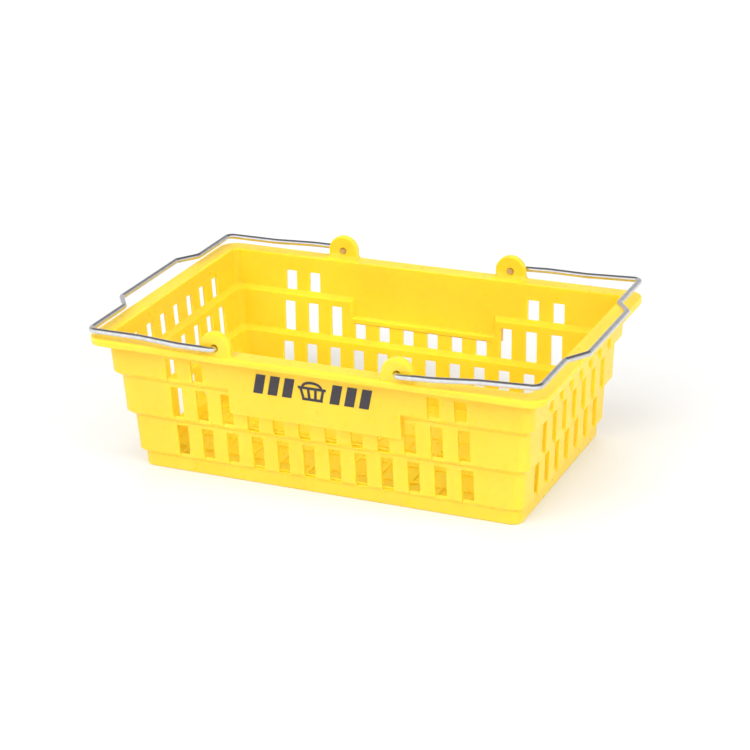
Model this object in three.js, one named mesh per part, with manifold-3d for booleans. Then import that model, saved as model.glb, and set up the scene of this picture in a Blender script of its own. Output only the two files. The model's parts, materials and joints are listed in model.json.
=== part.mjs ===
// Small shopping basket: one moulded plastic tub with two bent-wire handles.
// Millimetres, +Z up. Origin at the middle of the underside, length along X.
import * as THREE from 'three';
import { mergeVertices } from 'three/addons/utils/BufferGeometryUtils.js';
import Module from 'manifold-3d';

// ---- tub: plan size and wall profile --------------------------------------
const BASE_HALF_X = 84.2;         // outer half length at the very bottom
const BASE_HALF_Y = 48.2;         // outer half depth at the very bottom
const DRAFT = 0.043;              // outward lean of every wall, mm per mm of height
const WALL = 1.5;                 // wall thickness
const FLOOR = 1.6;                // floor thickness
const CORNER_RADIUS = 4.5;        // outer plan radius of the tub's corners
const CORNER_STEPS = 6;           // facets in each rounded corner
const RIM_TOP = 60.8;
const FLANGE = 1.6;               // thickness of the rolled-over rim
const SKIRT_BOTTOM = 57.9;        // lower edge of the rim's turned-down skirt
const RIM_OFFSET = 15.3;          // rim's outer edge, outside the base outline
const RIM_CORNER_RADIUS = 8;

// Each tier starts at `bottom`, where its outer face stands `offset` outside the base outline.
// `step` is the height of the slope under it.
const BASE_TIER = { bottom: 0, offset: 0 };
const LOWER_TIER = { bottom: 7.9, offset: 2.0, step: 1.7 };
const MIDDLE_TIER = { bottom: 26.0, offset: 5.2, step: 2.4 };
const TOP_TIER = { bottom: 44.3, offset: 8.3, step: 2.4 };
const TIERS = [LOWER_TIER, MIDDLE_TIER, TOP_TIER];
const LEDGE_RISE = 0.6;           // inner ledge's upper edge above the tier's bottom
const LEDGE_DROP = 1.7;           // fall of the ledge towards the inside

// ---- slots ------------------------------------------------------------------
const LONG_COLUMNS = 12;
const END_COLUMNS = 7;
const LONG_PITCH = 11.5;
const END_PITCH = 11.7;
const SLOT_WIDTH = 5.1;
const CUT_REACH = 4;              // cutting boxes stand this far out of the wall
const CUT_OVERLAP = 0.001;        // overlap of boxes that cut one opening
const SILL_RISE = 0.9;            // slot's lower edge above its tier's bottom
const SILL_DEPTH = 0.45;          // wall left outside the ledge below a slot
const SLOT_HEAD = 4.1;            // slot's upper edge below the next tier's bottom
const TOP_SLOT_HEAD = 7.1;        // the same for the top tier, below the rim's top
const TOP_TIER_COLUMNS = 2;       // top-tier slots at each end of the long walls

// ---- plain panel in the middle of the long walls ------------------------------
const PANEL_BOTTOM = 33.4;
const PANEL_SLOT_HEAD = 0.1;      // short slots stop this far below the panel
const PANEL_SHELF = 2.4;          // thickness of the shelf under the panel's recess
const SHELF_RISE = 0.5;           // slope of the shelf up to the panel
const RECESS_SIDE = 3.4;          // wall left between the panel's side and the recess
const RECESS_LEAN = 0.5;          // how much the recess narrows at each side, mm per mm of depth
const RECESS_SHIFT = 1.2;         // recess's middle, right of the panel's as seen from inside
const PANEL_COLUMNS = 6;          // slot columns the panel spans

// ---- ribs on the floor ------------------------------------------------------------
const RIB_PITCH = 14.6;
const RIB_WIDTH = 1.6;
const RIB_HEIGHT = 0.7;
const RIBS_ACROSS = 11;
const RIBS_ALONG = 5;

// ---- lugs and handles ---------------------------------------------------------------
const HINGE_X = 39.5;
const HINGE_Z = 64.0;
const LUG_RADIUS = 6.7;
const LUG_INNER_Y = 59.8;
const LUG_THICKNESS = 3.0;
const LUG_HOLE_RADIUS = 1.5;
const LUG_FLARE = 1.3;            // radius where a lug's edge runs out into the rim
const LUG_SEGMENTS = 32;

const WIRE_RADIUS = 1.2;
const WIRE_SEGMENTS = 14;
const WIRE_END_Y = 59.4;          // cut end, just inside the lug
const ARM_Y = 64.4;               // arm beside the lug
const BAR_END_Y = 62.1;           // arm where it meets the cross bar
const ARM_BEND_START = 16;        // the arm cranks inwards between these two reaches
const ARM_BEND_END = 34;
const BAR_REACH = 58;             // hinge axis to the outer parts of the cross bar
const GRIP_REACH = 64.4;          // hinge axis to the grip
const GRIP_JOG_OUTER_Y = 33;      // where the jog leaves the outer part
const GRIP_JOG_INNER_Y = 24;      // where the jog reaches the grip
const EYE_BEND_RADIUS = 1.8;
const CRANK_BEND_RADIUS = 20;
const BAR_BEND_RADIUS = 3.2;
const BEND_STEP = Math.PI / 12;   // turn between two rings of a bend
const LEFT_REST_DEG = 0;          // each handle's angle above level as it lies folded
const RIGHT_REST_DEG = 2.5;

const YELLOW = 0xffd62e;
const CHROME = 0xc9ccd1;
const SAME_POINT = 1e-5;          // points closer than this are welded

const wasm = await Module();
wasm.setup();

function toManifold(geometry) {
  const plain = geometry.clone();
  plain.deleteAttribute('normal');
  plain.deleteAttribute('uv');
  const merged = mergeVertices(plain, SAME_POINT);
  return new wasm.Manifold(new wasm.Mesh({
    numProp: 3,
    vertProperties: new Float32Array(merged.attributes.position.array),
    triVerts: new Uint32Array(merged.index.array),
  }));
}

function toGeometry(manifold) {
  const mesh = manifold.getMesh();
  const geometry = new THREE.BufferGeometry();
  geometry.setAttribute('position', new THREE.BufferAttribute(mesh.vertProperties, 3));
  geometry.setIndex(new THREE.BufferAttribute(mesh.triVerts, 1));
  geometry.computeVertexNormals();
  return geometry;
}

function box(low, high) {
  const size = high.map((value, i) => value - low[i]);
  const geometry = new THREE.BoxGeometry(...size);
  geometry.translate(...low.map((value, i) => value + size[i] / 2));
  return toManifold(geometry);
}

// Closed surface through rings that all have the same number of points.
function loft(rings) {
  const count = rings[0].length;
  const positions = rings.flat(2);
  const index = [];
  for (let row = 0; row + 1 < rings.length; row += 1) {
    for (let i = 0; i < count; i += 1) {
      const a = row * count + i;
      const b = row * count + ((i + 1) % count);
      index.push(a, b, b + count, a, b + count, a + count);
    }
  }
  const last = (rings.length - 1) * count;
  for (let i = 1; i + 1 < count; i += 1) {
    index.push(0, i + 1, i);
    index.push(last, last + i, last + i + 1);
  }
  const geometry = new THREE.BufferGeometry();
  geometry.setAttribute('position', new THREE.Float32BufferAttribute(positions, 3));
  geometry.setIndex(index);
  return geometry;
}

// Rounded rectangle standing `offset` outside the base outline, anticlockwise from above.
function planRing(offset, z, radius) {
  const centreX = BASE_HALF_X + offset - radius;
  const centreY = BASE_HALF_Y + offset - radius;
  const points = [];
  for (let quarter = 0; quarter < 4; quarter += 1) {
    const signX = quarter === 0 || quarter === 3 ? 1 : -1;
    const signY = quarter < 2 ? 1 : -1;
    for (let i = 0; i <= CORNER_STEPS; i += 1) {
      const angle = (quarter + i / CORNER_STEPS) * Math.PI / 2;
      points.push([
        signX * centreX + radius * Math.cos(angle),
        signY * centreY + radius * Math.sin(angle),
        z,
      ]);
    }
  }
  return points;
}

const outerOffset = (tier, z) => tier.offset + DRAFT * (z - tier.bottom);
const innerOffset = (tier, z) => outerOffset(tier, z) - WALL;

// Outside of the wall from the bottom edge up to the underside of the rim.
function outerProfile() {
  const profile = [[0, 0]];
  let below = BASE_TIER;
  for (const tier of TIERS) {
    const slopeStart = tier.bottom - tier.step;
    profile.push([outerOffset(below, slopeStart), slopeStart]);
    profile.push([tier.offset, tier.bottom]);
    below = tier;
  }
  const underside = RIM_TOP - FLANGE;
  profile.push([outerOffset(below, underside), underside]);
  return profile;
}

// Inside of the wall from the floor up to the top of the rim.
function innerProfile() {
  const profile = [[innerOffset(BASE_TIER, FLOOR), FLOOR]];
  let below = BASE_TIER;
  for (const tier of TIERS) {
    const upper = tier.bottom + LEDGE_RISE;
    const lower = upper - LEDGE_DROP;
    profile.push([innerOffset(below, lower), lower]);
    profile.push([innerOffset(tier, upper), upper]);
    below = tier;
  }
  profile.push([innerOffset(below, RIM_TOP), RIM_TOP]);
  return profile;
}

function makeShell() {
  const tubRing = ([offset, z]) => planRing(offset, z, CORNER_RADIUS);
  const innerRing = ([offset, z]) => planRing(offset, z, CORNER_RADIUS - WALL);
  const skirtInner = RIM_OFFSET - FLANGE;
  const rimRings = [
    planRing(skirtInner, RIM_TOP - FLANGE, RIM_CORNER_RADIUS - FLANGE),
    planRing(skirtInner, SKIRT_BOTTOM, RIM_CORNER_RADIUS - FLANGE),
    planRing(RIM_OFFSET, SKIRT_BOTTOM, RIM_CORNER_RADIUS),
    planRing(RIM_OFFSET, RIM_TOP, RIM_CORNER_RADIUS),
  ];
  return toManifold(loft([
    ...outerProfile().map(tubRing),
    ...rimRings,
    ...innerProfile().reverse().map(innerRing),
  ]));
}

// Solid from a cross-section in the Y-Z plane on the wall at side -1 or +1. Along X it reaches
// `reach(offset, z)` to both sides of `middle`.
function wallPrism(section, side, middle, reach) {
  const ring = (end) => section.map(([offset, z]) => (
    [middle + end * reach(offset, z), side * (BASE_HALF_Y + offset), z]
  ));
  return toManifold(loft([-side, side].map(ring)));
}

const PANEL_HALF = (PANEL_COLUMNS + 1) / 2 * LONG_PITCH - SLOT_WIDTH / 2;

// The panel carries the top tier's wall down over the middle tier, and is hollowed from inside.
function addPanel(tub, side) {
  const blockTop = TOP_TIER.bottom + LEDGE_RISE / 2;
  const middle = outerOffset(MIDDLE_TIER, PANEL_BOTTOM) - WALL / 3;
  const block = wallPrism([
    [middle, PANEL_BOTTOM],
    [outerOffset(TOP_TIER, PANEL_BOTTOM), PANEL_BOTTOM],
    [outerOffset(TOP_TIER, blockTop), blockTop],
    [middle, blockTop],
  ], side, 0, () => PANEL_HALF);
  const shelf = PANEL_BOTTOM + PANEL_SHELF;
  const shelfBack = shelf + SHELF_RISE;
  const recessTop = TOP_TIER.bottom + LEDGE_RISE;
  const inside = innerOffset(MIDDLE_TIER, PANEL_BOTTOM) - WALL;
  const recess = wallPrism([
    [inside, shelf],
    [innerOffset(MIDDLE_TIER, shelf), shelf],
    [innerOffset(TOP_TIER, shelfBack), shelfBack],
    [innerOffset(TOP_TIER, recessTop), recessTop],
    [inside, recessTop],
  ], side, side * RECESS_SHIFT, (offset, z) => (
    PANEL_HALF - RECESS_SIDE - RECESS_LEAN * (offset - innerOffset(MIDDLE_TIER, z))
  ));
  return tub.add(block).subtract(recess);
}

// Lowest and highest point of one tier's slots.
function slotSpan(tier, underPanel) {
  const low = tier.bottom + SILL_RISE;
  if (underPanel) return [low, PANEL_BOTTOM - PANEL_SLOT_HEAD];
  if (tier === TOP_TIER) return [low, RIM_TOP - TOP_SLOT_HEAD];
  return [low, TIERS[TIERS.indexOf(tier) + 1].bottom - SLOT_HEAD];
}

// One slot through the wall, with the tier's overhang cut away below it.
// `half` is the wall's base half width; `place` makes the box on the wanted wall.
function slotCutters(tier, [low, high], half, place) {
  const wallInside = half + tier.offset - WALL;
  const inside = wallInside - CUT_REACH;
  const outside = half + tier.offset + CUT_REACH;
  const notchBottom = tier.bottom - tier.step - SILL_RISE;
  return [
    place(inside, outside, low, high),
    place(wallInside + SILL_DEPTH, outside, notchBottom, low + CUT_OVERLAP),
  ];
}

const centred = (count, pitch) => Array.from({ length: count }, (_, i) => (i - (count - 1) / 2) * pitch);

// Box whose second axis range is given as distances from the middle, on one side of it.
function sideBox(axis, side, [near, far], [start, end], low, high) {
  const across = side > 0 ? [near, far] : [-far, -near];
  const [xs, ys] = axis === 'x' ? [across, [start, end]] : [[start, end], across];
  return box([xs[0], ys[0], low], [xs[1], ys[1], high]);
}

// Cutters for one slot column at `along` in both walls that face the given axis.
function slotPair(tier, span, axis, along) {
  const half = axis === 'x' ? BASE_HALF_X : BASE_HALF_Y;
  const edges = [along - SLOT_WIDTH / 2, along + SLOT_WIDTH / 2];
  return [-1, 1].flatMap((side) => slotCutters(tier, span, half, (near, far, low, high) => (
    sideBox(axis, side, [near, far], edges, low, high)
  )));
}

function slotsThroughWalls() {
  const cutters = [];
  for (const tier of TIERS) {
    centred(LONG_COLUMNS, LONG_PITCH).forEach((x, column) => {
      const fromEnd = Math.min(column, LONG_COLUMNS - 1 - column);
      if (tier === TOP_TIER && fromEnd >= TOP_TIER_COLUMNS) return;
      const underPanel = tier === MIDDLE_TIER && Math.abs(x) < PANEL_HALF;
      cutters.push(...slotPair(tier, slotSpan(tier, underPanel), 'y', x));
    });
    for (const y of centred(END_COLUMNS, END_PITCH)) {
      cutters.push(...slotPair(tier, slotSpan(tier, false), 'x', y));
    }
  }
  return wasm.Manifold.union(cutters);
}

function floorRibs() {
  const ribs = [];
  const inset = WALL / 2;
  const halfX = BASE_HALF_X - inset;
  const halfY = BASE_HALF_Y - inset;
  const low = FLOOR / 2;
  const high = FLOOR + RIB_HEIGHT;
  for (const x of centred(RIBS_ACROSS, RIB_PITCH)) {
    ribs.push(box([x - RIB_WIDTH / 2, -halfY, low], [x + RIB_WIDTH / 2, halfY, high]));
  }
  for (const y of centred(RIBS_ALONG, RIB_PITCH)) {
    ribs.push(box([-halfX, y - RIB_WIDTH / 2, low], [halfX, y + RIB_WIDTH / 2, high]));
  }
  return wasm.Manifold.union(ribs);
}

// Round-topped ear standing on the rim, with the hole that carries a handle's end.
function makeLug(x, side) {
  const rim = RIM_TOP - HINGE_Z;
  const foot = rim - FLANGE / 2;
  const flareX = LUG_RADIUS + LUG_FLARE;
  const flareZ = rim + LUG_FLARE;
  const shape = new THREE.Shape();
  shape.moveTo(-flareX, foot);
  shape.lineTo(flareX, foot);
  shape.absarc(flareX, flareZ, LUG_FLARE, -Math.PI / 2, -Math.PI, true);
  shape.absarc(0, 0, LUG_RADIUS, 0, Math.PI, false);
  shape.absarc(-flareX, flareZ, LUG_FLARE, 0, -Math.PI / 2, true);
  const hole = new THREE.Path();
  hole.absarc(0, 0, LUG_HOLE_RADIUS, 0, 2 * Math.PI, true);
  shape.holes.push(hole);
  const geometry = new THREE.ExtrudeGeometry(shape, {
    depth: LUG_THICKNESS,
    bevelEnabled: false,
    curveSegments: LUG_SEGMENTS / 2,
  });
  geometry.rotateX(Math.PI / 2);
  geometry.translate(x, side > 0 ? LUG_INNER_Y + LUG_THICKNESS : -LUG_INNER_Y, HINGE_Z);
  return toManifold(geometry);
}

function makeBasket() {
  let tub = makeShell();
  for (const side of [-1, 1]) tub = addPanel(tub, side);
  tub = tub.subtract(slotsThroughWalls()).add(floorRibs());
  for (const x of [-HINGE_X, HINGE_X]) {
    for (const side of [-1, 1]) tub = tub.add(makeLug(x, side));
  }
  return toGeometry(tub);
}

// Replaces each inner corner of a flat path by an arc of that corner's radius.
function roundCorners(corners) {
  const points = [new THREE.Vector2(...corners[0].at)];
  for (let i = 1; i + 1 < corners.length; i += 1) {
    const here = new THREE.Vector2(...corners[i].at);
    const back = new THREE.Vector2(...corners[i - 1].at).sub(here).normalize();
    const ahead = new THREE.Vector2(...corners[i + 1].at).sub(here).normalize();
    const turn = Math.PI - Math.acos(back.dot(ahead));
    const radius = corners[i].radius;
    const bisector = back.clone().add(ahead).normalize();
    const centre = here.clone().addScaledVector(bisector, radius / Math.cos(turn / 2));
    const start = here.clone().addScaledVector(back, radius * Math.tan(turn / 2)).sub(centre);
    const sense = Math.sign(ahead.cross(back)) || 1;
    const steps = Math.max(2, Math.ceil(turn / BEND_STEP));
    for (let k = 0; k <= steps; k += 1) {
      const arm = start.clone().rotateAround(new THREE.Vector2(), sense * turn * k / steps);
      points.push(arm.add(centre));
    }
  }
  points.push(new THREE.Vector2(...corners[corners.length - 1].at));
  return points;
}

// Handle wire's centre line: first number is the reach from the hinge axis, second is Y.
function handlePath() {
  const half = [
    { at: [0, WIRE_END_Y] },
    { at: [0, ARM_Y], radius: EYE_BEND_RADIUS },
    { at: [ARM_BEND_START, ARM_Y], radius: CRANK_BEND_RADIUS },
    { at: [ARM_BEND_END, BAR_END_Y], radius: CRANK_BEND_RADIUS },
    { at: [BAR_REACH, BAR_END_Y], radius: BAR_BEND_RADIUS },
    { at: [BAR_REACH, GRIP_JOG_OUTER_Y], radius: BAR_BEND_RADIUS },
    { at: [GRIP_REACH, GRIP_JOG_INNER_Y], radius: BAR_BEND_RADIUS },
  ];
  const mirrored = half.slice().reverse().map(({ at, radius }) => ({ at: [at[0], -at[1]], radius }));
  return roundCorners([...half, ...mirrored]);
}

// Curve through the given points. It is divided evenly by point instead of by length,
// so that an extrusion with one step per stretch puts a ring at each point.
class PointPath extends THREE.Curve {
  constructor(points) {
    super();
    this.points = points;
  }

  getPoint(t, target = new THREE.Vector3()) {
    const place = t * (this.points.length - 1);
    const i = Math.min(Math.floor(place), this.points.length - 2);
    return target.lerpVectors(this.points[i], this.points[i + 1], place - i);
  }

  getUtoTmapping(u) {
    return u;
  }
}

// Round wire along the handle's path, then swung up about the hinge axis.
function makeHandle(side, restDegrees) {
  const points = handlePath().map(({ x, y }) => new THREE.Vector3(x, y, 0));
  const section = new THREE.Shape().absarc(0, 0, WIRE_RADIUS, 0, 2 * Math.PI, false);
  const geometry = new THREE.ExtrudeGeometry(section, {
    steps: points.length - 1,
    extrudePath: new PointPath(points),
    curveSegments: WIRE_SEGMENTS / 2,
  });
  geometry.rotateY(-THREE.MathUtils.degToRad(restDegrees));
  if (side < 0) geometry.rotateZ(Math.PI);
  geometry.translate(side * HINGE_X, 0, HINGE_Z);
  return geometry;
}

function named(name, geometry, color, roughness, metalness) {
  const mesh = new THREE.Mesh(geometry, new THREE.MeshStandardMaterial({ color, roughness, metalness }));
  mesh.name = name;
  return mesh;
}

const object = new THREE.Group();
object.name = 'shopping_basket';
object.add(
  named('basket', makeBasket(), YELLOW, 0.38, 0),
  named('left_handle', makeHandle(-1, LEFT_REST_DEG), CHROME, 0.12, 1),
  named('right_handle', makeHandle(1, RIGHT_REST_DEG), CHROME, 0.12, 1),
);

export default object;
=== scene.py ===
"""Small yellow shopping basket with two folding wire handles.

Lengths in the shape code are millimetres in the part's frame; they become metres when a mesh is finished.
"""

import json
import math

import bmesh
import bpy
from mathutils import Matrix, Vector


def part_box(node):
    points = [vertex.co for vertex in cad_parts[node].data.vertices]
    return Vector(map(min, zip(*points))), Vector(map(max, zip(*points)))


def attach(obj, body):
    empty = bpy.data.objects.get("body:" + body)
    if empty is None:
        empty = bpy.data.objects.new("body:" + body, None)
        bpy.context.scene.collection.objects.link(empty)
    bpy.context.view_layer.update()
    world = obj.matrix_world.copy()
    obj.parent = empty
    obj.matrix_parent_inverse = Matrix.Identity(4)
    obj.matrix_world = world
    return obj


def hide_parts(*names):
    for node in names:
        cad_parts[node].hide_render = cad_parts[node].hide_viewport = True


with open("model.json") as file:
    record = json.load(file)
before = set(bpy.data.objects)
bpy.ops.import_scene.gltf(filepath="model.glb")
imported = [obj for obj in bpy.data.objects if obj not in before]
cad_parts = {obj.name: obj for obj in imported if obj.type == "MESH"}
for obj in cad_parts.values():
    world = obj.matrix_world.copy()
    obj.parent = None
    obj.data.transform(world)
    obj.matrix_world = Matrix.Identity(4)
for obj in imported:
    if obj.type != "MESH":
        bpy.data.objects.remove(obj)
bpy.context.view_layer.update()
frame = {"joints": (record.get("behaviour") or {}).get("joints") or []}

MM = 0.001
TUB_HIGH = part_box("basket")[1] / MM
HINGES = {joint["child"]: Vector(joint["pos_m"]) / MM for joint in frame["joints"]}

# ---- tub: plan size and wall profile -----------------------------------------------------------
RIM_OFFSET = 15.3  # rim's outer edge, outside the base outline
BASE_HALF_X = TUB_HIGH.x - RIM_OFFSET
BASE_HALF_Y = TUB_HIGH.y - RIM_OFFSET
HINGE_Z = HINGES["right_handle"].z
LUG_RADIUS = TUB_HIGH.z - HINGE_Z
HINGE_RISE = 3.2  # hinge axis above the rim's top
DRAFT = 0.043  # outward lean of every wall, mm per mm of height
WALL = 1.5
FLOOR = 1.6
CORNER_RADIUS = 4.5  # of the walls' outer faces, in plan
CORNER_STEPS = 10
RIM_TOP = HINGE_Z - HINGE_RISE
FLANGE = 1.6  # thickness of the turned-over rim
SKIRT_DEPTH = 2.9  # from the rim's top to the skirt's lower edge
SKIRT_BOTTOM = RIM_TOP - SKIRT_DEPTH
RIM_CORNER_RADIUS = 8.0


class Tier:
    """One storey of the wall: its outer face starts at bottom, offset outside the base outline."""

    def __init__(self, bottom, offset, step):
        self.bottom = bottom
        self.offset = offset
        self.step = step  # height of the slope under the tier

    def outer(self, z):
        return self.offset + DRAFT * (z - self.bottom), z

    def inner(self, z):
        return self.outer(z)[0] - WALL, z


BASE_TIER = Tier(bottom=0.0, offset=0.0, step=0.0)
LOWER_TIER = Tier(bottom=7.9, offset=2.0, step=1.7)
MIDDLE_TIER = Tier(bottom=26.0, offset=5.2, step=2.4)
TOP_TIER = Tier(bottom=44.3, offset=8.3, step=2.4)
TIERS = [LOWER_TIER, MIDDLE_TIER, TOP_TIER]
LEDGE_RISE = 0.6  # inner ledge's upper edge above the tier's bottom
LEDGE_DROP = 1.7  # fall of the ledge towards the inside

# ---- slots -------------------------------------------------------------------------------------
LONG_COLUMNS = 12
END_COLUMNS = 7
LONG_PITCH = 11.5
END_PITCH = 11.7
SLOT_WIDTH = 5.1
SILL_RISE = 0.9  # slot's outer lower edge above its tier's bottom
SILL_DEPTH = 0.45  # sill left between the ledge and the notch below the slot
SILL_FALL = 0.1  # fall of that sill towards the ledge
SLOT_HEAD = 4.1  # slot's upper edge below the next tier's bottom
TOP_SLOT_HEAD = 7.1  # the same for the top tier, below the rim's top
TOP_TIER_COLUMNS = 2  # top-tier slots at each end of the long walls

# ---- plain panel in the middle of the long walls -----------------------------------------------
PANEL_BOTTOM = 33.4
PANEL_SLOT_HEAD = 0.1  # short slots stop this far below the panel
PANEL_STEP_ROW = 0.8  # height given to the row of the panel's underside where there is no panel
PANEL_SHELF = 2.4  # thickness of the shelf under the panel's recess
SHELF_RISE = 0.5  # slope of the shelf up to the panel
PANEL_COLUMNS = 6  # slot columns the panel spans
PANEL_HALF = (PANEL_COLUMNS + 1) / 2 * LONG_PITCH - SLOT_WIDTH / 2
RECESS_SIDE = 3.4  # wall left between the panel's side and the recess
RECESS_HALF = PANEL_HALF - RECESS_SIDE
RECESS_LEAN = 0.5  # how much the recess narrows at each side, mm per mm of depth
RECESS_SHIFT = 1.2  # recess's middle, right of the panel's as seen from inside

# ---- floor ribs --------------------------------------------------------------------------------
RIB_PITCH = 14.6
RIB_WIDTH = 1.6
RIB_HEIGHT = 0.7
RIBS_ACROSS = 11
RIBS_ALONG = 5

# ---- lugs and handles --------------------------------------------------------------------------
LUG_INNER_Y = 59.8
LUG_THICKNESS = 3.0
LUG_HOLE_RADIUS = 1.5
LUG_FLARE = 1.3  # radius where a lug's edge runs out into the rim

LUG_SEGMENTS = 32  # round the half circle of the top
HOLE_SEGMENTS = 16  # round half of the hole
FLARE_SEGMENTS = 6

WIRE_RADIUS = 1.2
WIRE_SEGMENTS = 28
WIRE_CHAMFER = 0.15  # at the cut ends
WIRE_END_Y = 59.4  # cut end, just inside the lug
ARM_Y = 64.4  # arm beside the lug
BAR_END_Y = 62.1  # arm where it meets the cross bar
ARM_BEND_START = 16  # the arm cranks inwards between these two reaches
ARM_BEND_END = 34
BAR_REACH = 58  # hinge axis to the outer parts of the cross bar
GRIP_REACH = 64.4  # hinge axis to the grip
GRIP_JOG_OUTER_Y = 33  # where the jog leaves the outer part
GRIP_JOG_INNER_Y = 24  # where the jog reaches the grip
EYE_BEND_RADIUS = 1.8
CRANK_BEND_RADIUS = 20
BAR_BEND_RADIUS = 3.2
BEND_STEP = math.radians(6)  # turn between two rings of a bend
REST_DEGREES = {"left_handle": 0.0, "right_handle": 2.5}  # above level, as each handle lies folded

# ---- edge rounding -----------------------------------------------------------------------------
EDGE_ROUND = 0.25
RIM_ROUND = 0.75
LUG_ROUND = 0.5
FOOT_ROUND = 0.7
ROUND_SEGMENTS = 3
SHARP_ANGLE = math.radians(27)  # edges that turn by less stay as they are
RIM_BAND = 0.5  # edges this close to the rim's outside count as the rim's
HAIR = 0.01  # margin when places are compared
PLACE_DIGITS = 6  # decimals to which places along a wall are compared
SAME_PLACE = 1e-6  # corners of one face closer than this are one corner
WELD = 1e-4  # vertices closer than this are merged
UNION_WELD = 1e-3  # the same after a union


# ==== wall: cross-section rows ==================================================================
class Row:
    """One line across the wall: the inner and outer points (offset, z), and those of the panel."""

    def __init__(self, name, inner, outer, middle=None, panel_inner=None, panel_outer=None):
        self.name = name
        self.inner = inner
        self.outer = outer
        self.middle = middle
        self.panel_inner = panel_inner or inner
        self.panel_outer = panel_outer or outer


def between(a, b, share):
    """The point that lies this share of the way from a to b."""
    return a[0] + (b[0] - a[0]) * share, a[1] + (b[1] - a[1]) * share


def step_rows(number):
    """Rows over the step from one tier to the next, up to the slots' sill."""
    tier = TIERS[number]
    below = TIERS[number - 1] if number else BASE_TIER
    slope_start = below.outer(tier.bottom - tier.step)
    lip = (tier.offset, tier.bottom)
    ledge_top = tier.inner(tier.bottom + LEDGE_RISE)
    ledge_bottom = below.inner(ledge_top[1] - LEDGE_DROP)
    notch = tier.offset - WALL + SILL_DEPTH
    crank = between(slope_start, lip, (notch - slope_start[0]) / (lip[0] - slope_start[0]))
    sill_edge = (notch, ledge_top[1] + SILL_FALL)
    rows = [
        Row("slope", ledge_bottom, slope_start),
        Row("crank", between(ledge_bottom, ledge_top, 1 / 3), crank, crank),
        Row("lip", between(ledge_bottom, ledge_top, 2 / 3), lip, (notch, lip[1])),
        Row("sill", ledge_top, tier.outer(tier.bottom + SILL_RISE), sill_edge),
    ]
    if tier is TOP_TIER:
        for row in rows[:-1]:
            row.panel_inner = tier.inner(row.inner[1])
            row.panel_outer = tier.outer(row.outer[1])
    for row in rows:
        row.name += str(number)
    return rows


def level_row(name, tier, z, panel_tier=None):
    """Row straight through the wall at one height, in another tier's wall where the panel is."""
    panel = panel_tier or tier
    return Row(name, tier.inner(z), tier.outer(z), panel_inner=panel.inner(z), panel_outer=panel.outer(z))


def panel_rows():
    """Rows of the middle tier where the plain panel steps out over the short slots."""
    step = PANEL_BOTTOM + PANEL_STEP_ROW
    shelf = PANEL_BOTTOM + PANEL_SHELF
    lip_point = TOP_TIER.outer(PANEL_BOTTOM)
    shelf_point = TOP_TIER.outer(shelf)
    return [
        level_row("short_head", MIDDLE_TIER, PANEL_BOTTOM - PANEL_SLOT_HEAD),
        level_row("panel_low", MIDDLE_TIER, PANEL_BOTTOM),
        Row("panel_lip", MIDDLE_TIER.inner(step), MIDDLE_TIER.outer(step), panel_outer=lip_point),
        Row("shelf_in", MIDDLE_TIER.inner(shelf), MIDDLE_TIER.outer(shelf), panel_outer=shelf_point),
        level_row("shelf_out", MIDDLE_TIER, shelf + SHELF_RISE, TOP_TIER),
    ]


def wall_rows():
    """All rows of the wall, from the foot up to the rim and down to the skirt's edge."""
    return [
        Row("foot", BASE_TIER.inner(FLOOR), (0.0, 0.0)),
        *step_rows(0),
        level_row("head0", LOWER_TIER, MIDDLE_TIER.bottom - SLOT_HEAD),
        *step_rows(1),
        *panel_rows(),
        level_row("head1", MIDDLE_TIER, TOP_TIER.bottom - SLOT_HEAD, TOP_TIER),
        *step_rows(2),
        level_row("head2", TOP_TIER, RIM_TOP - TOP_SLOT_HEAD),
        Row("rim_root", TOP_TIER.inner(RIM_TOP), TOP_TIER.outer(RIM_TOP - FLANGE)),
        Row("rim_edge", (RIM_OFFSET, RIM_TOP), (RIM_OFFSET - FLANGE, RIM_TOP - FLANGE)),
        Row("skirt_end", (RIM_OFFSET, SKIRT_BOTTOM), (RIM_OFFSET - FLANGE, SKIRT_BOTTOM)),
    ]


ROWS = wall_rows()
ROW = {row.name: i for i, row in enumerate(ROWS)}


def plan_radius(row, layer):
    """Corner radius of a row's inner (0), middle (1) or outer (2) point."""
    if row.name in ("rim_edge", "skirt_end"):
        return RIM_CORNER_RADIUS - FLANGE * layer / 2
    return CORNER_RADIUS - WALL + WALL * layer / 2


def section_point(row, layer, outer_panel, inner_panel):
    """A row's inner (0), middle (1) or outer (2) point, with the panel's shape on the sides asked for."""
    inner = row.panel_inner if inner_panel else row.inner
    outer = row.panel_outer if outer_panel else row.outer
    if layer == 0:
        return inner
    if layer == 2:
        return outer
    if row.middle and not outer_panel:
        return row.middle
    return between(inner, outer, SILL_DEPTH / WALL)


# ==== wall: columns round the plan ==============================================================
def recess_end_place(end, offset, z):
    """Place along the wall of the recess's leaning end, at a point this far out and up."""
    front = MIDDLE_TIER.inner(z)[0]
    back = TOP_TIER.inner(z)[0]
    depth = min(max(offset, front), back) - front
    return end * (RECESS_HALF - RECESS_LEAN * depth) - RECESS_SHIFT


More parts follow.
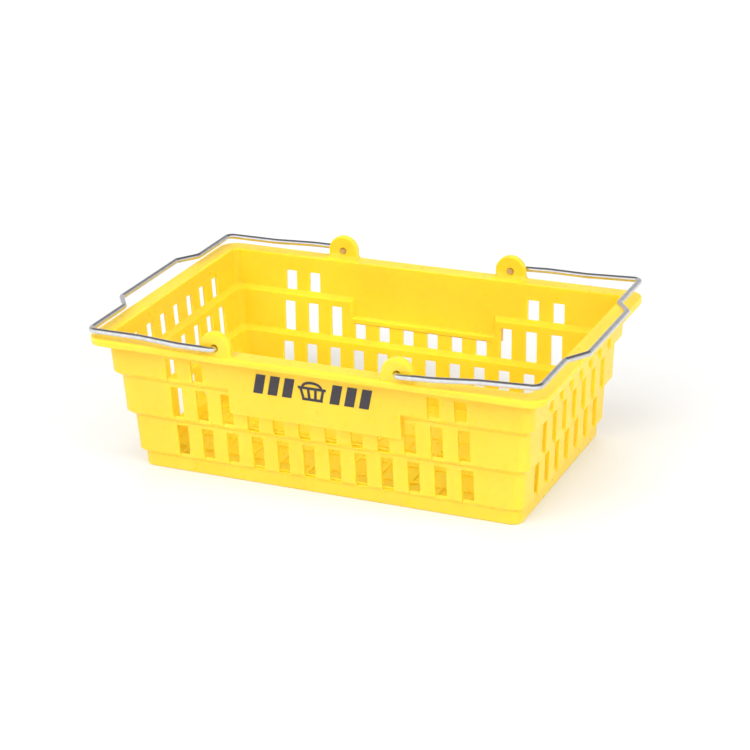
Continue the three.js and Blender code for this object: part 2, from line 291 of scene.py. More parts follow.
class Column:
    """A vertical line of the wall mesh: straight at `along`, or at `turn` round the side's end corner."""

    def __init__(self, side, along=0.0, turn=None, outer_panel=False, inner_panel=False):
        self.side = side
        self.along = along
        self.turn = turn
        self.outer_panel = outer_panel
        self.inner_panel = inner_panel
        self.slot_after = None  # slot column number that starts here
        self.recess_end = 0  # -1 or 1 at the recess's ends

    def place(self, row, layer):
        offset, z = section_point(row, layer, self.outer_panel, self.inner_panel)
        across, along = (BASE_HALF_X, BASE_HALF_Y) if self.side % 2 == 0 else (BASE_HALF_Y, BASE_HALF_X)
        if self.recess_end:
            local = Vector((across + offset, recess_end_place(self.recess_end, offset, z), z))
        elif self.turn is None:
            local = Vector((across + offset, self.along, z))
        else:
            radius = plan_radius(row, layer)
            local = Vector((
                across + offset - radius + radius * math.cos(self.turn),
                along + offset - radius + radius * math.sin(self.turn),
                z,
            ))
        return Matrix.Rotation(self.side * math.pi / 2, 3, "Z") @ local


def centred(count, pitch):
    """Places of evenly spaced things on both sides of zero."""
    return [(i - (count - 1) / 2) * pitch for i in range(count)]


def slot_columns(side, long_wall):
    """The two columns at the sides of each slot."""
    columns = []
    middles = centred(LONG_COLUMNS, LONG_PITCH) if long_wall else centred(END_COLUMNS, END_PITCH)
    for number, middle in enumerate(middles):
        under_panel = long_wall and abs(middle) < PANEL_HALF
        left = Column(side, middle - SLOT_WIDTH / 2, outer_panel=under_panel, inner_panel=under_panel)
        left.slot_after = number
        right = Column(side, middle + SLOT_WIDTH / 2, outer_panel=under_panel, inner_panel=under_panel)
        columns += [left, right]
    return columns


def panel_columns(side):
    """Columns at the sides of the panel and, before and after its step, at the recess's ends."""
    columns = []
    for edge in (-1, 1):
        columns.append(Column(side, edge * PANEL_HALF, outer_panel=True))
        for inner_panel in (False, True):
            along = edge * RECESS_HALF - RECESS_SHIFT
            column = Column(side, along, outer_panel=True, inner_panel=inner_panel)
            column.recess_end = edge
            columns.append(column)
    return columns


def side_columns(side):
    """Columns along one wall and round the corner at its end, walking anticlockwise."""
    long_wall = side % 2 == 1
    columns = slot_columns(side, long_wall)
    if long_wall:
        columns += panel_columns(side)
    # Where columns share a place, the ones nearer the panel's middle have more of its shape.
    columns.sort(key=lambda c: (round(c.along, PLACE_DIGITS), order_at_edge(c)))
    turns = [i / CORNER_STEPS * math.pi / 2 for i in range(CORNER_STEPS + 1)]
    return columns + [Column(side, turn=turn) for turn in turns]


def order_at_edge(column):
    """Sorting key among the columns of one place, by how much of the panel's shape they have."""
    amount = column.outer_panel + column.inner_panel
    return amount if column.along < 0 else -amount


COLUMNS = [column for side in range(4) for column in side_columns(side)]


def slot_tiers(column):
    """(first, last) rows of each opening in the slot that starts at this column, lowest first."""
    number = column.slot_after
    if column.side % 2 == 0:
        return [("0", "head0"), ("1", "head1"), ("2", "head2")]
    openings = [("0", "head0")]
    openings.append(("1", "short_head" if column.outer_panel else "head1"))
    if min(number, LONG_COLUMNS - 1 - number) < TOP_TIER_COLUMNS:
        openings.append(("2", "head2"))
    return openings


def is_open(column_number, row_number, layer):
    """Whether a cell of the wall is cut away. Layer 0 is the inner part and 1 the outer part."""
    column = COLUMNS[column_number]
    if column.slot_after is None:
        return False
    for tier, head in slot_tiers(column):
        first = ROW["sill" + tier] if layer == 0 else ROW["crank" + tier]
        if first <= row_number < ROW[head]:
            return True
    return False


def wall_mesh():
    """Closed mesh of the floor plate, walls and rim, made of the faces between solid and open cells."""
    bm = bmesh.new()
    count = len(COLUMNS)
    grid = {}
    for c, column in enumerate(COLUMNS):
        for r, row in enumerate(ROWS):
            for layer in range(3):
                grid[c, r, layer] = bm.verts.new(column.place(row, layer))

    def face(*keys):
        corners = []
        for key in keys:
            vert = grid[key[0] % count, key[1], key[2]]
            if all((vert.co - other.co).length > SAME_PLACE for other in corners):
                corners.append(vert)
        if len(corners) > 2:
            bm.faces.new(corners)

    last = len(ROWS) - 2
    for c in range(count):
        for r in range(last + 1):
            for layer in range(2):
                if is_open(c, r, layer):
                    continue
                near, far = layer, layer + 1
                if layer == 0 or is_open(c, r, 0):
                    face((c, r, near), (c + 1, r, near), (c + 1, r + 1, near), (c, r + 1, near))
                if layer == 1 or is_open(c, r, 1):
                    face((c, r, far), (c, r + 1, far), (c + 1, r + 1, far), (c + 1, r, far))
                if r and is_open(c, r - 1, layer):
                    face((c, r, near), (c, r, far), (c + 1, r, far), (c + 1, r, near))
                if r == last or is_open(c, r + 1, layer):
                    face((c, r + 1, near), (c + 1, r + 1, near), (c + 1, r + 1, far), (c, r + 1, far))
                if is_open((c - 1) % count, r, layer):
                    face((c, r, near), (c, r + 1, near), (c, r + 1, far), (c, r, far))
                if is_open((c + 1) % count, r, layer):
                    face((c + 1, r, near), (c + 1, r, far), (c + 1, r + 1, far), (c + 1, r + 1, near))
    bm.faces.new([grid[c, 0, 0] for c in range(count)])
    bm.faces.new([grid[c, 0, 2] for c in reversed(range(count))])
    bmesh.ops.remove_doubles(bm, verts=bm.verts, dist=WELD)
    loose = [vert for vert in bm.verts if not vert.link_faces]
    bmesh.ops.delete(bm, geom=loose, context="VERTS")
    bmesh.ops.recalc_face_normals(bm, faces=bm.faces)
    return bm


# ==== ribs and lugs =============================================================================
def add_box(bm, low, high):
    made = bmesh.ops.create_cube(bm, size=1.0)
    size = Vector(high) - Vector(low)
    middle = (Vector(high) + Vector(low)) / 2
    for vert in made["verts"]:
        vert.co = Vector(vert.co[i] * size[i] for i in range(3)) + middle


def rib_mesh(along_x):
    """Low ribs over the floor in one direction, their ends inside the walls."""
    bm = bmesh.new()
    half_x = BASE_HALF_X - WALL / 2
    half_y = BASE_HALF_Y - WALL / 2
    low, high = FLOOR / 2, FLOOR + RIB_HEIGHT
    half = RIB_WIDTH / 2
    for at in centred(RIBS_ALONG if along_x else RIBS_ACROSS, RIB_PITCH):
        if along_x:
            add_box(bm, (-half_x, at - half, low), (half_x, at + half, high))
        else:
            add_box(bm, (at - half, -half_y, low), (at + half, half_y, high))
    return bm


def arc_points(radius, start, end, steps, centre=(0, 0)):
    """Points (x, z) on an arc about centre, with both ends."""
    turns = [start + (end - start) * i / steps for i in range(steps + 1)]
    return [(centre[0] + radius * math.cos(turn), centre[1] + radius * math.sin(turn)) for turn in turns]


def mirrored(points):
    """Points (x, z) of the other half, in the order that goes on round the outline."""
    return [(-x, z) for x, z in reversed(points)]


def lug_faces():
    """Outlines that tile a lug's face about its hole: the round top, the waist below it and two flares."""
    rim = RIM_TOP - HINGE_Z
    foot = rim - FLANGE / 2
    flare_top = (LUG_RADIUS, rim + LUG_FLARE)
    flare_centre = (LUG_RADIUS + LUG_FLARE, rim + LUG_FLARE)
    crown = arc_points(LUG_RADIUS, 0, math.pi, LUG_SEGMENTS)
    hole_top = arc_points(LUG_HOLE_RADIUS, math.pi, 0, HOLE_SEGMENTS)
    hole_bottom = arc_points(LUG_HOLE_RADIUS, 0, -math.pi, HOLE_SEGMENTS)
    right_side = [(LUG_RADIUS, foot), flare_top, (LUG_RADIUS, 0)]
    waist = mirrored(right_side) + right_side
    flare = arc_points(LUG_FLARE, math.pi, 3 * math.pi / 2, FLARE_SEGMENTS, flare_centre)
    right = [(LUG_RADIUS, foot), (LUG_RADIUS + LUG_FLARE, foot)] + flare[::-1]
    return [crown + hole_top, waist + hole_bottom, right, mirrored(right)]


def lug_mesh(x, side):
    """Lug with its hole at x, on the front (side -1) or back (side +1) rim."""
    bm = bmesh.new()
    inner_y = side * LUG_INNER_Y
    for outline in lug_faces():
        bm.faces.new([bm.verts.new((x + px, inner_y, HINGE_Z + pz)) for px, pz in outline])
    bmesh.ops.remove_doubles(bm, verts=bm.verts, dist=WELD)
    faces = list(bm.faces)
    made = bmesh.ops.extrude_face_region(bm, geom=faces, use_keep_orig=True)
    for item in made["geom"]:
        if isinstance(item, bmesh.types.BMVert):
            item.co.y += side * LUG_THICKNESS
    bmesh.ops.recalc_face_normals(bm, faces=bm.faces)
    return bm


# ==== joining, rounding and finishing a mesh ====================================================
def to_object(bm, name, scale=MM):
    mesh = bpy.data.meshes.new(name)
    if scale != 1:
        bm.transform(Matrix.Scale(scale, 4))
    bm.to_mesh(mesh)
    bm.free()
    obj = bpy.data.objects.new(name, mesh)
    bpy.context.scene.collection.objects.link(obj)
    return obj


def united(bm, additions):
    """bm joined with each of the additions into one closed mesh."""
    body = to_object(bm, "body", 1)
    helpers = [to_object(addition, "addition", 1) for addition in additions]
    for helper in helpers:
        union = body.modifiers.new("union", "BOOLEAN")
        union.operation = "UNION"
        union.solver = "EXACT"
        union.object = helper
    graph = bpy.context.evaluated_depsgraph_get()
    result = bmesh.new()
    result.from_object(body, graph)
    for obj in [body, *helpers]:
        bpy.data.objects.remove(obj)
    bmesh.ops.remove_doubles(result, verts=result.verts, dist=UNION_WELD)
    return result


def round_width(edge):
    """How far a sharp edge of the tub is rounded back."""
    low, high = sorted(vert.co.z for vert in edge.verts)
    middle = (edge.verts[0].co + edge.verts[1].co) / 2
    outside = max(abs(middle.x) - BASE_HALF_X, abs(middle.y) - BASE_HALF_Y)
    if high < HAIR:
        return FOOT_ROUND
    if low < RIM_TOP - HAIR:
        return EDGE_ROUND
    if high > RIM_TOP + HAIR:
        return LUG_ROUND * min(1, (middle.z - RIM_TOP) / LUG_FLARE)
    if outside > RIM_OFFSET - RIM_BAND:
        return RIM_ROUND
    from_hinge = min(abs(middle.x - hinge.x) for hinge in HINGES.values())
    at_lug = LUG_INNER_Y - HAIR < abs(middle.y) < LUG_INNER_Y + LUG_THICKNESS + HAIR
    if at_lug and from_hinge < LUG_RADIUS + LUG_FLARE:
        return 0.0
    return EDGE_ROUND


def mark_rounding(bm):
    """Give every sharp edge its share of the widest rounding, and return that width."""
    widest = max(EDGE_ROUND, RIM_ROUND, LUG_ROUND, FOOT_ROUND)
    weights = bm.edges.layers.float.new("bevel_weight_edge")
    for edge in bm.edges:
        if len(edge.link_faces) == 2 and edge.calc_face_angle(0) > SHARP_ANGLE:
            edge[weights] = round_width(edge) / widest
    return widest


def rounded(obj, widest):
    """Round the marked edges and let the flat faces keep their own shading."""
    bevel = obj.modifiers.new("edge_round", "BEVEL")
    bevel.limit_method = "WEIGHT"
    bevel.offset_type = "OFFSET"
    bevel.width = widest * MM
    bevel.segments = ROUND_SEGMENTS
    bevel.use_clamp_overlap = False
    bevel.miter_outer = "MITER_SHARP"
    normals = obj.modifiers.new("even_normals", "WEIGHTED_NORMAL")
    normals.keep_sharp = False
    normals.weight = 100


def shade_smooth(obj):
    obj.data.polygons.foreach_set("use_smooth", [True] * len(obj.data.polygons))


def make_tub(material):
    """Floor, walls, rim, ribs and lugs as one closed mesh."""
    lugs = []
    for hinge in HINGES.values():
        for side in (-1, 1):
            lugs.append(lug_mesh(hinge.x, side))
    bm = united(wall_mesh(), [rib_mesh(True), rib_mesh(False), *lugs])
    widest = mark_rounding(bm)
    tub = to_object(bm, "moulded_tub")
    shade_smooth(tub)
    rounded(tub, widest)
    tub.data.materials.append(material)
    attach(tub, "basket")
    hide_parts("basket")
    return tub


# ==== handles ===================================================================================
def rounded_path(corners):
    """Points along a flat path whose inner corners (point, radius) are replaced by arcs."""
    points = [Vector(corners[0][0])]
    for (before, _), (here, radius), (after, _) in zip(corners, corners[1:], corners[2:]):
        here = Vector(here)
        back = (Vector(before) - here).normalized()
        ahead = (Vector(after) - here).normalized()
        turn = math.pi - back.angle(ahead)
        centre = here + (back + ahead).normalized() * radius / math.cos(turn / 2)
        start = here + back * radius * math.tan(turn / 2) - centre
        sense = 1 if back.x * ahead.y - back.y * ahead.x < 0 else -1
        steps = max(2, math.ceil(turn / BEND_STEP))
        for i in range(steps + 1):
            points.append(centre + Matrix.Rotation(sense * turn * i / steps, 2) @ start)
    points.append(Vector(corners[-1][0]))
    return points


def handle_path():
    """Centre line of a handle: reach from the hinge axis, then Y."""
    half = [
        ((0, WIRE_END_Y), 0),
        ((0, ARM_Y), EYE_BEND_RADIUS),
        ((ARM_BEND_START, ARM_Y), CRANK_BEND_RADIUS),
        ((ARM_BEND_END, BAR_END_Y), CRANK_BEND_RADIUS),
        ((BAR_REACH, BAR_END_Y), BAR_BEND_RADIUS),
        ((BAR_REACH, GRIP_JOG_OUTER_Y), BAR_BEND_RADIUS),
        ((GRIP_REACH, GRIP_JOG_INNER_Y), BAR_BEND_RADIUS),
    ]
    other_half = [((reach, -y), radius) for (reach, y), radius in reversed(half)]
    return rounded_path(half + other_half)


WIRE_SLOT, CUT_END_SLOT = 0, 1  # places of the two materials on a handle


def wire_mesh(path):
    """Round wire along a flat path, with chamfered cut ends and a UV of length and angle in mm."""
    first, last = path[0], path[-1]
    into_first = (path[1] - first).normalized() * WIRE_CHAMFER
    into_last = (path[-2] - last).normalized() * WIRE_CHAMFER
    centres = [first, first + into_first, *path[1:-1], last + into_last, last]
    radii = [WIRE_RADIUS] * len(centres)
    radii[0] = radii[-1] = WIRE_RADIUS - WIRE_CHAMFER
    bm = bmesh.new()
    uv = bm.loops.layers.uv.new("length_angle")
    rings = []
    lengths = [0.0]
    for i, centre in enumerate(centres):
        back = centres[max(i - 1, 0)]
        ahead = centres[min(i + 1, len(centres) - 1)]
        run = (ahead - back).normalized()
        sideways = Vector((run.y, -run.x, 0))
        ring = []
        for k in range(WIRE_SEGMENTS):
            angle = 2 * math.pi * k / WIRE_SEGMENTS
            spoke = sideways * math.cos(angle) + Vector((0, 0, 1)) * math.sin(angle)
            ring.append(bm.verts.new(centre.to_3d() + spoke * radii[i]))
        rings.append(ring)
        if i:
            lengths.append(lengths[-1] + (centre - centres[i - 1]).length)
    for i in range(len(rings) - 1):
        chamfered = i in (0, len(rings) - 2)
        for k in range(WIRE_SEGMENTS):
            m = (k + 1) % WIRE_SEGMENTS
            made = bm.faces.new((rings[i][k], rings[i][m], rings[i + 1][m], rings[i + 1][k]))
            made.smooth = not chamfered
            made.material_index = CUT_END_SLOT if chamfered else WIRE_SLOT
            at = [(lengths[i], k), (lengths[i], k + 1), (lengths[i + 1], k + 1), (lengths[i + 1], k)]
            for loop, (length, spoke) in zip(made.loops, at):
                loop[uv].uv = (length, spoke / WIRE_SEGMENTS * 2 * math.pi * WIRE_RADIUS)
    for ring, order in ((rings[0], 1), (rings[-1], -1)):
        cap = bm.faces.new(ring[::order])
        cap.material_index = CUT_END_SLOT
    bmesh.ops.recalc_face_normals(bm, faces=bm.faces)
    return bm


def make_handle(body, wire, cut_end):
    """Handle of one body, turned about its hinge to the angle at which it lies folded."""
    hinge = HINGES[body]
    side = math.copysign(1, hinge.x)
    bm = wire_mesh(handle_path())
    lift = Matrix.Rotation(-math.radians(REST_DEGREES[body]), 4, "Y")
    turn = Matrix.Rotation(0 if side > 0 else math.pi, 4, "Z")
    bm.transform(Matrix.Translation(hinge) @ turn @ lift)
    handle = to_object(bm, body + "_wire")
    handle.data.materials.append(wire)
    handle.data.materials.append(cut_end)
    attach(handle, body)
    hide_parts(body)
    return handle


# ==== printed mark ==============================================================================
PRINT_HEIGHT = 8.5
PRINT_MIDDLE_Z = 48.75
PRINT_THICKNESS = 0.06
PRINT_GAP = 0.01  # between the ink and the panel, so that the two faces don't share a plane
BAR_WIDTH = 4.2
BAR_GAP = 2.2
BAR_SLANT = 2.0
BARS_EACH_SIDE = 3
ICON_WIDTH = 12.3
ICON_LINE = 1.15  # thickness of the icon's lines
ICON_RIM_LOW = 0.6  # lower edge of its rim, above the icon's middle
ICON_INSET = 1.6  # its foot and handle end this far inside the rim's ends
ICON_SLAT_INSET = 1.3
ICON_SLATS = 4
HOOP_STEPS = 16


def bar_between(left, right, low):
    """Level line of the icon."""
    return [(left, low), (right, low), (right, low + ICON_LINE), (left, low + ICON_LINE)]


def slat_outline(foot_x, rim_x):
    """Leaning line of the icon, from its foot up to its rim."""
    foot_top = ICON_LINE - PRINT_HEIGHT / 2
    half = ICON_LINE / 2
    return [
        (foot_x - half, foot_top),
        (foot_x + half, foot_top),
        (rim_x + half, ICON_RIM_LOW),
        (rim_x - half, ICON_RIM_LOW),
    ]


def hoop_outline(half_width):
    """Half ring standing on the icon's rim."""
    foot = ICON_RIM_LOW + ICON_LINE
    height = PRINT_HEIGHT / 2 - foot
    turns = [i * math.pi / HOOP_STEPS for i in range(HOOP_STEPS + 1)]
    outer = [(half_width * math.cos(turn), foot + height * math.sin(turn)) for turn in turns]
    narrower = 1 - ICON_LINE / half_width
    lower = 1 - ICON_LINE / height
    inner = [(x * narrower, foot + (z - foot) * lower) for x, z in reversed(outer)]
    return outer + inner


def icon_outlines():
    """Plain picture of a basket: slats between a rim and a foot, under a hooped handle."""
    half = ICON_WIDTH / 2
    foot_half = half - ICON_INSET
    outlines = [
        bar_between(-half, half, ICON_RIM_LOW),
        bar_between(-foot_half, foot_half, -PRINT_HEIGHT / 2),
    ]
    for i in range(ICON_SLATS):
        share = i / (ICON_SLATS - 1) * 2 - 1
        outlines.append(slat_outline(share * (foot_half - ICON_LINE / 2), share * (half - ICON_SLAT_INSET)))
    outlines.append(hoop_outline(half - ICON_INSET))
    return outlines


def bar_outlines(side):
    """Slanted bars on one side of the icon."""
    outlines = []
    half_height = PRINT_HEIGHT / 2
    lean = BAR_SLANT / 2
    for i in range(BARS_EACH_SIDE):
        near = ICON_WIDTH / 2 + BAR_GAP + i * (BAR_WIDTH + BAR_GAP)
        left = near if side > 0 else -near - BAR_WIDTH
        outlines.append([
            (left - lean, -half_height),
            (left + BAR_WIDTH - lean, -half_height),
            (left + BAR_WIDTH + lean, half_height),
            (left + lean, half_height),
        ])
    return outlines


def make_print(name, side, ink):
    """Thin ink shapes lying on the outside of the panel at side -1 (front) or +1 (back)."""
    bm = bmesh.new()
    for outline in bar_outlines(-1) + icon_outlines() + bar_outlines(1):
        layers = []
        for lift in (PRINT_GAP, PRINT_GAP + PRINT_THICKNESS):
            layer = []
            for x, height in outline:
                z = PRINT_MIDDLE_Z + height
                y = BASE_HALF_Y + TOP_TIER.outer(z)[0] + lift
                layer.append(bm.verts.new((-side * x, side * y, z)))
            layers.append(layer)
        count = len(outline)
        bm.faces.new(layers[0])
        bm.faces.new(layers[1][::-1])
        for i in range(count):
            j = (i + 1) % count
            bm.faces.new((layers[0][i], layers[0][j], layers[1][j], layers[1][i]))
    bmesh.ops.recalc_face_normals(bm, faces=bm.faces)
    mark = to_object(bm, name)
    mark.data.materials.append(ink)
    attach(mark, "basket")
    return mark


# ==== materials =================================================================================
WHITE = (1, 1, 1, 1)


def new_material(name):
    material = bpy.data.materials.new(name)
    material.use_nodes = True
    tree = material.node_tree
    return material, tree.nodes, tree.links, tree.nodes["Principled BSDF"]


def noise(nodes, links, vector, scale, detail, roughness=0.5):
    node = nodes.new("ShaderNodeTexNoise")
    node.inputs["Scale"].default_value = scale
    node.inputs["Detail"].default_value = detail
    node.inputs["Roughness"].default_value = roughness
    links.new(vector, node.inputs["Vector"])
    return node.outputs["Fac"]


def ranged(nodes, links, value, low, high, from_low=0.0, from_high=1.0):
    """Value mapped from its own range to low..high, and kept inside it."""
    node = nodes.new("ShaderNodeMapRange")
    node.inputs["From Min"].default_value = from_low
    node.inputs["From Max"].default_value = from_high
    node.inputs["To Min"].default_value = low
    node.inputs["To Max"].default_value = high
    links.new(value, node.inputs["Value"])
    return node.outputs["Result"]


def mixed(nodes, links, factor, a, b):
    node = nodes.new("ShaderNodeMix")
    node.data_type = "RGBA"
    node.inputs["A"].default_value = (*a, 1)
    node.inputs["B"].default_value = (*b, 1)
    links.new(factor, node.inputs["Factor"])
    return node.outputs["Result"]


def chosen(nodes, links, factor, off, on):
    """Mix of two strengths, each a number or another node's output."""
    node = nodes.new("ShaderNodeMix")
    links.new(factor, node.inputs["Factor"])
    for name, value in (("A", off), ("B", on)):
        if isinstance(value, float):
            node.inputs[name].default_value = value
        else:
            links.new(value, node.inputs[name])
    return node.outputs["Result"]


def bumped(nodes, links, height, distance, strength=1.0, under=None):
    node = nodes.new("ShaderNodeBump")
    node.inputs["Distance"].default_value = distance
    node.inputs["Strength"].default_value = strength
    links.new(height, node.inputs["Height"])
    if under:
        links.new(under, node.inputs["Normal"])
    return node.outputs["Normal"]


def feature_scale(size):
    """Noise scale, in coordinates of metres, for features of this many millimetres."""
    return 1 / (size * MM)


def patchy_colour(nodes, links, patches, colours):
    """One colour running into another where the noise passes through the middle of its range."""
    share = ranged(nodes, links, patches, 0, 1, from_low=0.3, from_high=0.7)
    return mixed(nodes, links, share, *colours)


def plastic_material():
    """Satin injection-moulded plastic: faint sink waves, a fine texture, slight drift of colour and gloss."""
    yellows = ((0.86, 0.60, 0.034), (0.89, 0.64, 0.042))
    glow_depth = 3.2 * MM  # how far light travels in the plastic
    wave_height = 0.25 * MM
    grain_height = 0.006 * MM
    material, nodes, links, shader = new_material("yellow_plastic")
    place = nodes.new("ShaderNodeTexCoord").outputs["Object"]
    drift = noise(nodes, links, place, feature_scale(30), detail=3)
    links.new(patchy_colour(nodes, links, drift, yellows), shader.inputs["Base Color"])
    scuffs = noise(nodes, links, place, feature_scale(2.5), detail=6, roughness=0.65)
    roughness = ranged(nodes, links, scuffs, 0.27, 0.40, from_low=0.35, from_high=0.65)
    links.new(roughness, shader.inputs["Roughness"])
    waves = bumped(nodes, links, noise(nodes, links, place, feature_scale(22), detail=1), wave_height)
    grain = noise(nodes, links, place, feature_scale(0.8), detail=2)
    links.new(bumped(nodes, links, grain, grain_height, 0.6, waves), shader.inputs["Normal"])
    shader.inputs["IOR"].default_value = 1.49
    shader.inputs["Subsurface Weight"].default_value = 1.0
    shader.inputs["Subsurface Radius"].default_value = (1.0, 0.7, 0.12)
    shader.inputs["Subsurface Scale"].default_value = glow_depth
    return material


def wire_material():
    """Bright plated wire with fine drawing lines along its length and a few dull patches."""
    bright, dull = (0.68, 0.68, 0.70), (0.60, 0.60, 0.63)
    along, around = 0.12, 4.0  # the lines are long and narrow
    line_scale, patch_scale = 1.6, 0.35  # per millimetre of wire
    line_height = 0.03 * MM
    material, nodes, links, shader = new_material("plated_wire")
    uv = nodes.new("ShaderNodeTexCoord").outputs["UV"]
    stretch = nodes.new("ShaderNodeMapping")
    stretch.inputs["Scale"].default_value = (along, around, 1.0)
    links.new(uv, stretch.inputs["Vector"])
    lines = noise(nodes, links, stretch.outputs["Vector"], line_scale, detail=4, roughness=0.6)
    patches = noise(nodes, links, uv, patch_scale, detail=3)
    dullness = ranged(nodes, links, patches, 0, 1, from_low=0.35, from_high=0.7)
    links.new(mixed(nodes, links, dullness, bright, dull), shader.inputs["Base Color"])
    roughness = ranged(nodes, links, patches, 0.07, 0.17, from_low=0.35, from_high=0.7)
    links.new(roughness, shader.inputs["Roughness"])
    links.new(bumped(nodes, links, lines, line_height, 0.5), shader.inputs["Normal"])
    shader.inputs["Metallic"].default_value = 1.0
    return material


def cut_end_material():
    """Sheared steel at the wire's ends, duller and browner than the plating."""
    browns = ((0.74, 0.60, 0.46), (0.50, 0.36, 0.23))
    grit_height = 0.04 * MM
    material, nodes, links, shader = new_material("cut_steel")
    place = nodes.new("ShaderNodeTexCoord").outputs["Object"]
    grit = noise(nodes, links, place, feature_scale(0.4), detail=5, roughness=0.7)
    links.new(patchy_colour(nodes, links, grit, browns), shader.inputs["Base Color"])
    links.new(ranged(nodes, links, grit, 0.35, 0.6), shader.inputs["Roughness"])
    links.new(bumped(nodes, links, grit, grit_height), shader.inputs["Normal"])
    shader.inputs["Metallic"].default_value = 0.9
    return material


def ink_material():
    """Pad-printed ink: nearly black, slightly uneven, less shiny than the plastic."""
    blacks = ((0.026, 0.022, 0.033), (0.038, 0.032, 0.044))
    cover_height = 0.01 * MM
    material, nodes, links, shader = new_material("printed_ink")
    place = nodes.new("ShaderNodeTexCoord").outputs["Object"]
    cover = noise(nodes, links, place, feature_scale(1.2), detail=4, roughness=0.6)
    links.new(patchy_colour(nodes, links, cover, blacks), shader.inputs["Base Color"])
    links.new(ranged(nodes, links, cover, 0.42, 0.58), shader.inputs["Roughness"])
    links.new(bumped(nodes, links, cover, cover_height), shader.inputs["Normal"])
    return material


def floor_material():
    """Matt white table top, lit from below: weakly near the basket, strongly where the lamps don't reach."""
    greys = ((0.59, 0.59, 0.59), (0.61, 0.61, 0.61))
    near_glow, far_glow = 0.25, 0.85
    near, far = 0.6, 2.0  # metres from the basket's middle
    fibre_scale = 90
    material, nodes, links, shader = new_material("white_table")
    place = nodes.new("ShaderNodeTexCoord").outputs["Object"]
    fibres = noise(nodes, links, place, fibre_scale, detail=4)
    links.new(mixed(nodes, links, fibres, *greys), shader.inputs["Base Color"])
    links.new(ranged(nodes, links, fibres, 0.75, 0.9), shader.inputs["Roughness"])
    shader.inputs["Emission Color"].default_value = WHITE
    distance = nodes.new("ShaderNodeVectorMath")
    distance.operation = "LENGTH"
    links.new(place, distance.inputs[0])
    glow = ranged(nodes, links, distance.outputs["Value"], near_glow, far_glow, near, far)
    links.new(glow, shader.inputs["Emission Strength"])
    return material


# ==== studio ====================================================================================
CAMERA_AZIMUTH = math.radians(24.627)
CAMERA_ELEVATION = math.radians(22.556)
CAMERA_ROLL = math.radians(-1.794)
CAMERA_TARGET = Vector((1.665, 0.0, 33.919)) * MM
CAMERA_DISTANCE = 946.0 * MM
SENSOR = 36.0
FOCAL = 108.45
TABLE_HALF = 6000
TABLE_DROP = 0.1  # keeps the table's face clear of the foot's
AMBIENT = 0.30
BACKDROP = 1.0
FRONT_GLOW, BACK_GLOW = 1.35, 0.72  # what reflections see in front of the basket and behind it
FRONT_EDGE, BACK_EDGE = -0.55, 0.1  # the one fades into the other between these
CEILING_GLOW = 0.24  # share of that left at the ceiling
CEILING_LOW, CEILING_HIGH = 0.50, 0.74  # heights where the ceiling starts, and where it is darkest
CEILING_SLOPE = 0.15  # how much lower the dark ceiling comes down behind than in front
ORIGIN = (0.0, 0.0, 0.0)


def make_camera():
    """Camera aimed at the target from its azimuth and elevation, then rolled."""
    azimuth, elevation = CAMERA_AZIMUTH, CAMERA_ELEVATION
    back = Vector((
        math.sin(azimuth) * math.cos(elevation),
        -math.cos(azimuth) * math.cos(elevation),
        math.sin(elevation),
    ))
    level_right = Vector((math.cos(azimuth), math.sin(azimuth), 0))
    level_up = back.cross(level_right)
    right = math.cos(CAMERA_ROLL) * level_right + math.sin(CAMERA_ROLL) * level_up
    up = back.cross(right)
    data = bpy.data.cameras.new("camera")
    data.sensor_width = SENSOR
    data.lens = FOCAL
    camera = bpy.data.objects.new("camera", data)
    turn = Matrix((right, up, back)).transposed().to_4x4()
    camera.matrix_world = Matrix.Translation(CAMERA_TARGET + back * CAMERA_DISTANCE) @ turn
    bpy.context.scene.collection.objects.link(camera)
    bpy.context.scene.camera = camera


def make_floor():
    bm = bmesh.new()
    bmesh.ops.create_grid(bm, x_segments=8, y_segments=8, size=TABLE_HALF)
    floor = to_object(bm, "table_top")
    floor.location.z = -TABLE_DROP * MM
    floor.data.materials.append(floor_material())


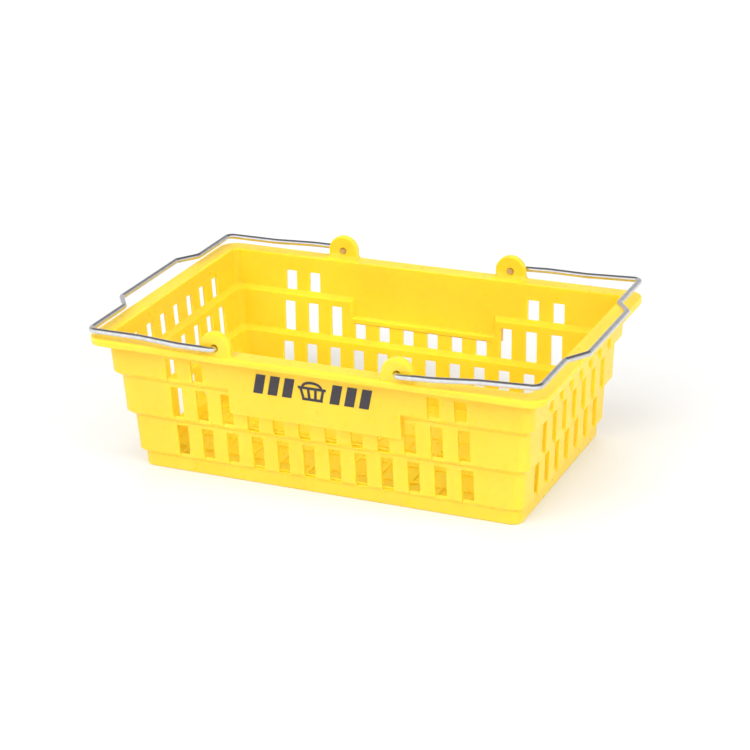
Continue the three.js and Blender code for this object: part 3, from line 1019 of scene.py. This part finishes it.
def reflected_room(nodes, links):
    """Brightness of the room that reflections see: a bright front, a dimmer back and a dark ceiling."""
    direction = nodes.new("ShaderNodeTexCoord").outputs["Generated"]
    axes = nodes.new("ShaderNodeSeparateXYZ")
    links.new(direction, axes.inputs["Vector"])
    front = ranged(nodes, links, axes.outputs["Y"], FRONT_GLOW, BACK_GLOW, FRONT_EDGE, BACK_EDGE)
    height = nodes.new("ShaderNodeMath")
    height.operation = "MULTIPLY_ADD"
    links.new(axes.outputs["Y"], height.inputs[0])
    height.inputs[1].default_value = CEILING_SLOPE
    links.new(axes.outputs["Z"], height.inputs[2])
    ceiling = ranged(nodes, links, height.outputs["Value"], 1.0, CEILING_GLOW, CEILING_LOW, CEILING_HIGH)
    seen = nodes.new("ShaderNodeMath")
    seen.operation = "MULTIPLY"
    links.new(front, seen.inputs[0])
    links.new(ceiling, seen.inputs[1])
    return seen.outputs["Value"]


def make_world():
    """Even soft light and a white backdrop, with a room of its own for reflections."""
    world = bpy.data.worlds.new("studio")
    world.use_nodes = True
    nodes, links = world.node_tree.nodes, world.node_tree.links
    path = nodes.new("ShaderNodeLightPath")
    lit = chosen(nodes, links, path.outputs["Is Glossy Ray"], AMBIENT, reflected_room(nodes, links))
    strength = chosen(nodes, links, path.outputs["Is Camera Ray"], lit, BACKDROP)
    nodes["Background"].inputs["Color"].default_value = WHITE
    links.new(strength, nodes["Background"].inputs["Strength"])
    bpy.context.scene.world = world


def add_softbox(name, place, target, size, power):
    """Area light that is left out of reflections, which see the world's own bright and dark parts."""
    data = bpy.data.lights.new(name, "AREA")
    data.shape = "RECTANGLE"
    data.size, data.size_y = size
    data.energy = power
    light = bpy.data.objects.new(name, data)
    light.location = place
    light.rotation_euler = (Vector(target) - Vector(place)).to_track_quat("-Z", "Y").to_euler()
    light.visible_glossy = False
    bpy.context.scene.collection.objects.link(light)


make_world()
make_camera()
make_floor()
add_softbox("overhead_softbox", place=(0.0, -0.6, 1.3), target=ORIGIN, size=(1.6, 1.0), power=13)
add_softbox("front_softbox", place=(-0.35, -1.3, 0.85), target=ORIGIN, size=(1.3, 0.8), power=13.5)
add_softbox("right_softbox", place=(1.4, -0.3, 0.8), target=ORIGIN, size=(0.9, 0.8), power=15)
add_softbox("rear_softbox", place=(-0.4, 1.5, 1.1), target=(-0.3, 1.35, 0.0), size=(1.8, 0.8), power=20)
bpy.context.scene.view_settings.view_transform = "Standard"

plastic = plastic_material()
wire = wire_material()
cut_end = cut_end_material()
ink = ink_material()
make_tub(plastic)
for body in ("left_handle", "right_handle"):
    make_handle(body, wire, cut_end)
make_print("front_print", -1, ink)
make_print("back_print", 1, ink)
